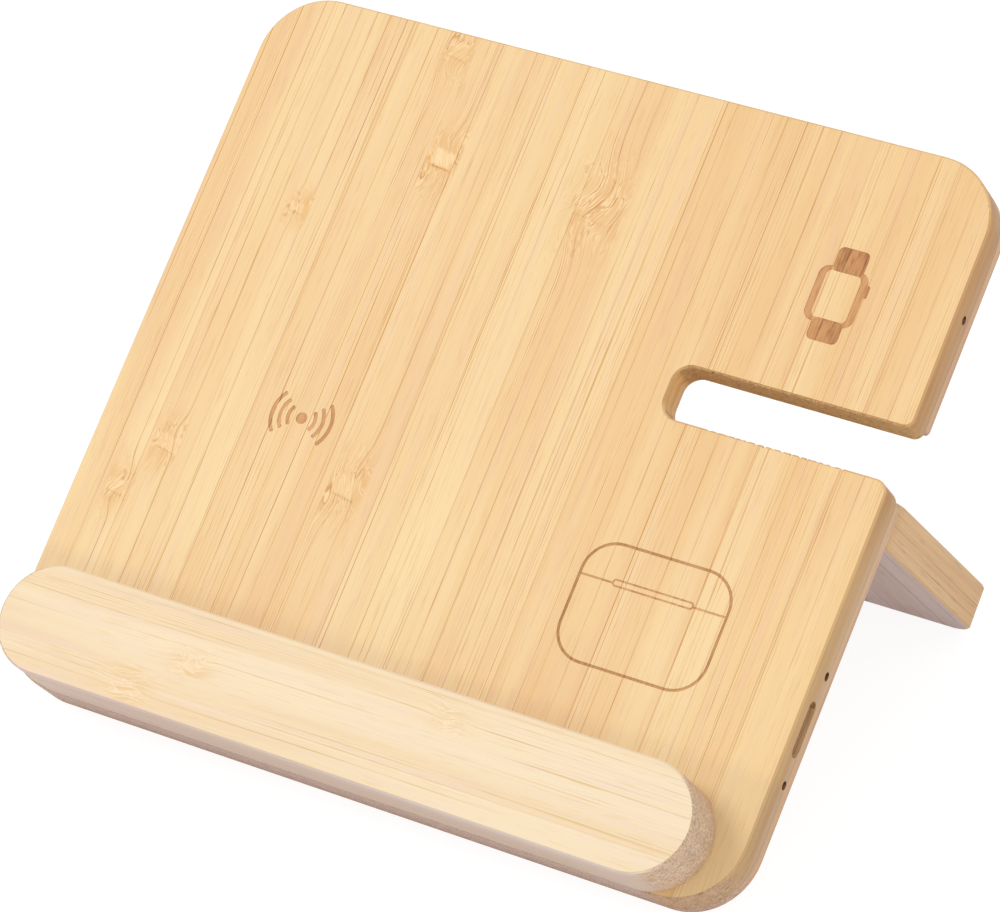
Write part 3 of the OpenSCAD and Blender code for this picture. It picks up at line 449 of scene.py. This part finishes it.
def arc_mark(name, x, y, radius, line, middle, spread, finish):
    """A flat arc in millimetres on the panel, with eased ends."""
    bpy.ops.mesh.primitive_circle_add(vertices=72, radius=radius + line / 2, fill_type="NGON")
    arc = bpy.context.active_object
    bpy.context.tool_settings.mesh_select_mode = (False, False, True)
    bpy.ops.object.mode_set(mode="EDIT")
    bpy.ops.mesh.select_all(action="SELECT")
    bpy.ops.mesh.inset(thickness=line, depth=0)
    bpy.ops.mesh.delete(type="FACE")
    bpy.ops.mesh.select_all(action="DESELECT")
    bpy.ops.object.mode_set(mode="OBJECT")
    for part in arc.data.polygons:
        turned = Matrix.Rotation(-middle, 3, "Z") @ part.center
        part.select = abs(math.atan2(turned.y, turned.x)) > spread
    bpy.ops.object.mode_set(mode="EDIT")
    bpy.ops.mesh.delete(type="FACE")
    bpy.ops.object.mode_set(mode="OBJECT")
    bpy.context.tool_settings.mesh_select_mode = (True, False, False)
    used = [sum(index in part.vertices for part in arc.data.polygons) for index in range(len(arc.data.vertices))]
    for vertex, uses in zip(arc.data.vertices, used):
        vertex.select = uses == 1
    bpy.ops.object.mode_set(mode="EDIT")
    bpy.ops.mesh.bevel(offset=line * 0.3, segments=3, affect="VERTICES")
    sink_mark(name, x, y, finish)


# Waves over the phone's coil: a dot with three arcs to either side.
wave_x, wave_y, wave_line = 44.27, 69.96, 0.83
bpy.ops.mesh.primitive_circle_add(vertices=32, radius=1.25, fill_type="NGON")
bpy.ops.object.mode_set(mode="EDIT")
sink_mark("wave_dot", wave_x, wave_y, light_burn)
for middle in (0.0, math.pi):
    for radius in (3.15, 5.0, 6.95):
        arc_mark("wave", wave_x, wave_y, radius, wave_line, middle, math.radians(40), light_burn)

# A plain watch on the tab: a case round a bare window, a crown and two straps.
case_x, case_y, case_w, case_h = 144.87, 125.05, 10.9, 12.1
window_w, window_h = 7.7, 10.3
case_line = (case_h - window_h) / 2
plate_mark("watch_case", case_x, case_y, case_w, case_h, 2.2, light_burn, case_line,
           narrow=window_w / (case_w - 2 * case_line))
plate_mark("watch_crown", case_x + case_w / 2 + 0.2, 127.5, 1.0, 2.7, 0.35, light_burn)
strap_x, strap_w, strap_depth = 145.2, 6.8, 0.14
for strap_y, strap_h in ((132.8, 5.3), (117.6, 4.8)):
    plate_mark("watch_strap", strap_x, strap_y, strap_w, strap_h, 1.2, strap_burn, depth=strap_depth)

# A plain earbuds case: its outline, the line of its lid and a long latch.
buds_x, buds_y, buds_w, buds_h = 132.05, 51.67, 33.5, 25.85
lid_y, latch_w, latch_h, buds_line, lid_line = 56.3, 18.2, 1.65, 0.6, 0.45
plate_mark("earbuds_case", buds_x, buds_y, buds_w, buds_h, 7.2, line_burn, buds_line)
plate_mark("earbuds_latch", buds_x, lid_y + 0.15, latch_w, latch_h, 0.75, light_burn, 0.38)
lid_w = (buds_w - latch_w) / 2 - buds_line
for way in (-1, 1):
    plate_mark("earbuds_lid", buds_x + way * (latch_w + lid_w) / 2, lid_y, lid_w, lid_line, 0, light_burn)

# Torn fibres: nicks that the saw left along both edges of the slot.
slot_low, slot_high, slot_in, slot_out = 91.7, 103.2, 122.0, 166.0
random.seed(11)


def tear(x, y, width, bite, depth):
    """A small five-sided pit in the board's edge, longer along the grain."""
    bpy.ops.mesh.primitive_cylinder_add(vertices=5, radius=0.5, depth=2 * depth,
                                        rotation=(0, 0, random.uniform(0, math.pi)))
    pit = bpy.context.active_object
    pit.data.transform(Matrix.Diagonal((width, 2 * bite, 1, 1)) @ pit.matrix_basis.to_3x3().to_4x4())
    pit.matrix_basis = Matrix.Identity(4)
    to_metres = Matrix.Diagonal((0.001, 0.001, 0.001, 1))
    pit.data.transform(panel_place @ to_metres @ Matrix.Translation((x, y, 0)))
    return pit


pits = []
spot = slot_in + 8
while spot < slot_out - 5:
    width = random.uniform(0.7, 1.7)
    lively = math.exp(-((spot - 148) / 12) ** 2)
    pits.append(tear(spot, slot_low, width, random.uniform(0.08, 0.22) + 0.45 * lively * random.random(), 1.6))
    spot += width + random.uniform(0.15, 1.2)
spot = slot_in + 4
while spot < slot_out - 5:
    width = random.uniform(0.4, 1.0)
    pits.append(tear(spot, slot_high, width, random.uniform(0.08, 0.28), random.uniform(0.3, 0.8)))
    spot += width + random.uniform(0.4, 2.2)
for pit in pits:
    pit.select_set(True)
bpy.context.view_layer.objects.active = pits[0]
bpy.ops.object.join()
torn = bpy.context.active_object
torn.data.materials.append(bamboo("torn bamboo", face_corner, up_grain, 18.0, {
    "Pale": stain(232, 192, 142), "Warm": stain(220, 176, 124), "Fibre": stain(186, 138, 88),
    "Side": stain(240, 226, 214), "Rear Side": stain(240, 226, 214),
    "End Pale": stain(228, 190, 142), "End Dark": stain(194, 152, 106)}, 0.6))
torn.select_set(False)
marks.append(torn)

for mark in marks:
    cut = board.modifiers.new("burn", "BOOLEAN")
    cut.operation = "DIFFERENCE"
    cut.solver = "EXACT"
    cut.material_mode = "TRANSFER"
    cut.object = mark
    bpy.context.view_layer.objects.active = board
    bpy.ops.object.modifier_apply(modifier=cut.name)
for mark in marks:
    bpy.data.objects.remove(mark)

# The socket's slot walls take a darker golden-brown finish; the pinholes' walls a dark brown one, which is painted
# shade.
into_panel = panel_place.inverted()


def panel_box(node):
    """A node's box in the panel's own directions, in millimetres."""
    spots = [into_panel @ vertex.co * 1000 for vertex in frame["nodes"][node].data.vertices]
    return [[pick(spot[axis] for spot in spots) for axis in range(3)] for pick in (min, max)]


for node, room, burn in (
        ("socket_shell", 1.8, slot_burn), ("phone_light", 0.5, pinhole_shade),
        ("earbuds_light", 0.5, pinhole_shade), ("watch_light", 0.5, pinhole_shade)):
    near, far = panel_box(node)
    board.data.materials.append(burn)
    for part in board.data.polygons:
        middle = into_panel @ part.center * 1000
        is_wall = abs(part.normal.x) < 0.5 and middle.x > near[0]
        if is_wall and near[1] - room < middle.y < far[1] + room and near[2] - 0.5 < middle.z < far[2] + 0.5:
            part.material_index = len(board.data.materials) - 1
board.select_set(True)
bpy.ops.object.shade_smooth_by_angle(angle=math.radians(30))
board.select_set(False)
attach(board, "panel")
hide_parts("front_panel")


def finish(node, material):
    """Gives a carried-over node its finish."""
    mesh = frame["nodes"][node].data
    mesh.materials.clear()
    mesh.materials.append(material)


# Back cover: a thin board of the same bamboo, screwed over the pockets.
# From the front only its edge shows, as a paler strip behind the seam.
finish("back_cover", bamboo("cover bamboo", face_corner + 0.031 * across + 0.34 * up_panel, up_grain, 18.0, {
    "Pale": stain(246, 214, 166), "Warm": stain(238, 198, 146), "Fibre": stain(188, 130, 76),
    "Side": stain(236, 228, 240), "Rear Side": stain(236, 228, 240), "Edge": stain(255, 248, 240),
    "End Pale": stain(222, 190, 168), "End Dark": stain(186, 150, 128)},
    0.9, ((38, -260, 4, 11, 1.2, 0.6), (79, -210, 5, 12, -1.3, 0.8), (20, -300, 4, 9, 0.9, 0.4),
          (115, -280, 5, 12, 1.3, 0.6))))

# Front rail: a solid bamboo bar with half-round ends, screwed on from behind.
# Its grain runs along the bar, and it is paler than the panel.
along_rail = Matrix((-up_panel, across, outward)).transposed().to_euler()
# Its side colours are cooler and darker: partly edge grain, partly painted cool shade.
finish("front_rail", bamboo("rail bamboo", face_corner, along_rail, 19.0, {
    "Pale": stain(249, 224, 187), "Warm": stain(243, 211, 165), "Fibre": stain(224, 178, 104),
    "Side": (0.78, 0.785, 1.0, 1.0), "Rear Side": (0.76, 0.77, 0.98, 1.0), "Edge": stain(255, 248, 238),
    "End Pale": stain(232, 202, 175), "End Dark": stain(194, 157, 125), "Side Wear": (0.96, 0.96, 0.95, 1.0),
    "Ease": 0.3, "Rim Relief": 0.85, "End Turn": 0.3, "Side Lines": 0.1, "Breaks": 0.85, "Scars": 0.35},
    0.9, ((-4.5, 38.5, 4, 9, 0.8, 0.1), (-12.5, 50, 3.5, 9, -0.8, 0.1), (-18, 108, 3, 8, 0.6, 0.1))))

# Rear leg: a bamboo board hinged behind the panel, with its grain down the leg.
# Its lower face is seen past the panel's side, in the shade.
fold = frame["joints"][0]
down_leg = (lean + math.pi + math.radians(fold["range_deg"][1]), 0.0, 0.0)
# Its finish paints light and shade: its sides are lightened, its lower face given a cooler, paler tone, and it is
# dimmed from x 70 mm on.
finish("rear_leg", bamboo("leg bamboo", Vector(fold["pos_m"]) - 0.083 * across, down_leg, 18.0, {
    "Pale": stain(244, 210, 162), "Warm": stain(234, 194, 144), "Fibre": stain(140, 98, 54),
    "Side": (1.08, 0.97, 0.88, 1.0), "Rear Side": (1.08, 0.97, 0.88, 1.0), "Far Shade": stain(236, 236, 236),
    "Under Shade": (0.96, 1.11, 1.86, 1.0), "Side Lines": 0.35,
    "End Pale": stain(220, 188, 150), "End Dark": stain(178, 140, 104)},
    0.9, ((40, 20, 4, 11, 1.2, 0.6), (101, 44, 5, 12, -1.3, 0.8), (140, 30, 4, 9, 0.9, 0.5))))

# Small parts: brass hinges, steel screws, the socket, coils, boards and lights.
# Most lie hidden in the pockets; the hinges are brushed and the coils wound.


def small_finish(name, colour, shade, metallic, rough, stretch, rings=None, cells=0.0):
    """A finish with marks stretched along X, Y and Z, windings or lines of cells."""
    material = bpy.data.materials.new(name)
    material.use_nodes = True
    tree = material.node_tree
    shader = tree.nodes["Principled BSDF"]
    spot = add_node(tree, "ShaderNodeTexCoord").outputs["Object"]
    marks = stretched(tree, spot, stretch, detail=3.0, rough=0.6)
    marks = between(tree, marks, 0.35, 0.68)
    if rings:
        place = add_node(tree, "ShaderNodeMapping", {
            "Vector": spot, "Location": rings, "Rotation": up_grain, "Scale": (0.001, 0.001, 1e6)},
            vector_type="TEXTURE").outputs[0]
        radius = add_node(tree, "ShaderNodeVectorMath", {0: place}, operation="LENGTH").outputs["Value"]
        winding = reckon(tree, "SINE", reckon(tree, "MULTIPLY", radius, math.tau / wire_pitch))
        marks = reckon(tree, "MULTIPLY_ADD", marks, 0.3, between(tree, winding, -0.9, 0.2, 0.7, 0.0))
    if cells:
        line = add_node(tree, "ShaderNodeTexVoronoi", {"Vector": spot, "Scale": cells},
                        feature="DISTANCE_TO_EDGE").outputs["Distance"]
        marks = reckon(tree, "MULTIPLY_ADD", marks, 0.4, between(tree, line, 0.02, 0.06, 0.6, 0.0))
    tree.links.new(blend_colour(tree, marks, colour, shade), shader.inputs["Base Color"])
    tree.links.new(between(tree, marks, 0.0, 1.0, rough - 0.06, rough + 0.12), shader.inputs["Roughness"])
    shader.inputs["Metallic"].default_value = metallic
    bump = add_node(tree, "ShaderNodeBump", {"Height": marks, "Strength": 0.3, "Distance": -0.00005})
    tree.links.new(bump.outputs[0], shader.inputs["Normal"])
    return material


wire_pitch = 0.55
small_finishes = {
    "hinge_brass": (stain(214, 178, 106), stain(172, 132, 72), 1.0, 0.34, (60.0, 3000.0, 3000.0)),
    "screw_steel": (stain(186, 186, 190), stain(140, 140, 146), 1.0, 0.34, (1500.0, 1500.0, 1500.0)),
    "socket_steel": (stain(166, 154, 142), stain(124, 114, 104), 1.0, 0.42, (200.0, 3000.0, 3000.0)),
    "magnet_nickel": (stain(204, 204, 208), stain(160, 160, 166), 1.0, 0.25, (900.0, 900.0, 900.0)),
    "ferrite": (stain(62, 62, 66), stain(34, 34, 38), 0.0, 0.6, (1400.0, 1400.0, 1400.0), None, 160.0),
    "lead_sleeve": (stain(44, 44, 46), stain(26, 26, 28), 0.0, 0.5, (900.0, 900.0, 900.0)),
    "board_laminate": (stain(30, 104, 62), stain(70, 150, 96), 0.0, 0.4, (500.0, 500.0, 500.0), None, 420.0),
    "black_plastic": (stain(36, 36, 38), stain(24, 24, 26), 0.0, 0.5, (1800.0, 1800.0, 1800.0)),
    "capacitor_ceramic": (stain(190, 164, 122), stain(150, 124, 86), 0.0, 0.4, (1600.0, 1600.0, 1600.0)),
    "light_lens": (stain(120, 96, 80), stain(88, 68, 56), 0.0, 0.45, (1200.0, 1200.0, 1200.0)),
}
copper = (stain(204, 122, 70), stain(120, 62, 30), 1.0, 0.35, (700.0, 700.0, 700.0))
small_materials = {slot: small_finish(slot.replace("_", " "), *recipe) for slot, recipe in small_finishes.items()}
for entry in frame["record"]["subparts"]:
    node, slot = entry["node"], entry["material_slot"]
    if slot == "coil_copper":
        low, high = panel_box(node)
        centre = panel_place @ (Vector([(a + b) / 2 for a, b in zip(low, high)]) / 1000)
        finish(node, small_finish(node.replace("_", " "), *copper, rings=centre))
    elif slot in small_materials:
        finish(node, small_materials[slot])

# Studio: a white floor that runs out of sight, soft lamps and the camera.
# The floor glows, most of all for the camera, so it is white and keeps a faint
# shadow; from below it can be looked through.
bpy.ops.mesh.primitive_plane_add(size=8, location=(0, 0, 0))
floor = bpy.context.active_object
floor.name = "studio_floor"
paper = bpy.data.materials.new("floor paper")
paper.use_nodes = True
tree = paper.node_tree
shader = tree.nodes["Principled BSDF"]
seen = add_node(tree, "ShaderNodeLightPath").outputs["Is Camera Ray"]
mottle = add_node(tree, "ShaderNodeTexNoise", {
    "Vector": add_node(tree, "ShaderNodeTexCoord").outputs["Object"], "Scale": 300.0}).outputs[0]
sheet = blend_colour(tree, mottle, (0.7, 0.7, 0.7, 1), (0.74, 0.74, 0.74, 1))
sheet = blend_colour(tree, seen, sheet, (0.22, 0.22, 0.22, 1))
tree.links.new(sheet, shader.inputs["Base Color"])
shader.inputs["Roughness"].default_value = 0.9
shader.inputs["Specular IOR Level"].default_value = 0.0
glow = add_node(tree, "ShaderNodeEmission", {
    "Color": (1, 1, 1, 1), "Strength": reckon(tree, "MULTIPLY_ADD", seen, 0.66, 0.22)})
both = add_node(tree, "ShaderNodeAddShader")
tree.links.new(shader.outputs[0], both.inputs[0])
tree.links.new(glow.outputs[0], both.inputs[1])
below = reckon(tree, "MULTIPLY", seen, add_node(tree, "ShaderNodeNewGeometry").outputs["Backfacing"])
open_below = add_node(tree, "ShaderNodeMixShader", {
    0: below, 1: both.outputs[0], 2: add_node(tree, "ShaderNodeBsdfTransparent").outputs[0]})
tree.links.new(open_below.outputs[0], tree.nodes["Material Output"].inputs["Surface"])
floor.data.materials.append(paper)

world = bpy.data.worlds.new("studio")
scene.world = world
world.use_nodes = True
tree = world.node_tree
sky = tree.nodes["Background"]
path = add_node(tree, "ShaderNodeLightPath").outputs
seen = reckon(tree, "MAXIMUM", path["Is Glossy Ray"], path["Is Transmission Ray"])
seen = reckon(tree, "MAXIMUM", path["Is Camera Ray"], seen)
tree.links.new(reckon(tree, "MULTIPLY_ADD", seen, 0.21, 0.79), sky.inputs["Strength"])
tree.links.new(blend_colour(tree, seen, (0.93, 0.97, 1.0, 1), (1, 1, 1, 1)), sky.inputs["Color"])

for name, place, aim, size, power in (
        ("key", (-0.8, -1.0, 1.5), (0, 0, 0.05), 0.6, 9.0),
        ("fill", (1.2, -0.6, 0.7), (0, 0, 0.05), 0.9, 1.0)):
    lamp = bpy.data.lights.new(name, "AREA")
    lamp.size = size
    lamp.energy = power
    stand = bpy.data.objects.new(name, lamp)
    scene.collection.objects.link(stand)
    stand.location = place
    stand.rotation_euler = (Vector(aim) - Vector(place)).to_track_quat("-Z", "Y").to_euler()

camera = bpy.data.objects.new("camera", bpy.data.cameras.new("camera"))
scene.collection.objects.link(camera)
camera.location = (0.421888, -0.695686, 0.583171)
camera.rotation_euler = (math.radians(56.84154), math.radians(1.30278), math.radians(30.22114))
camera.data.sensor_width = 36.0
camera.data.lens = 172.7726
scene.camera = camera
scene.view_settings.view_transform = "Standard"
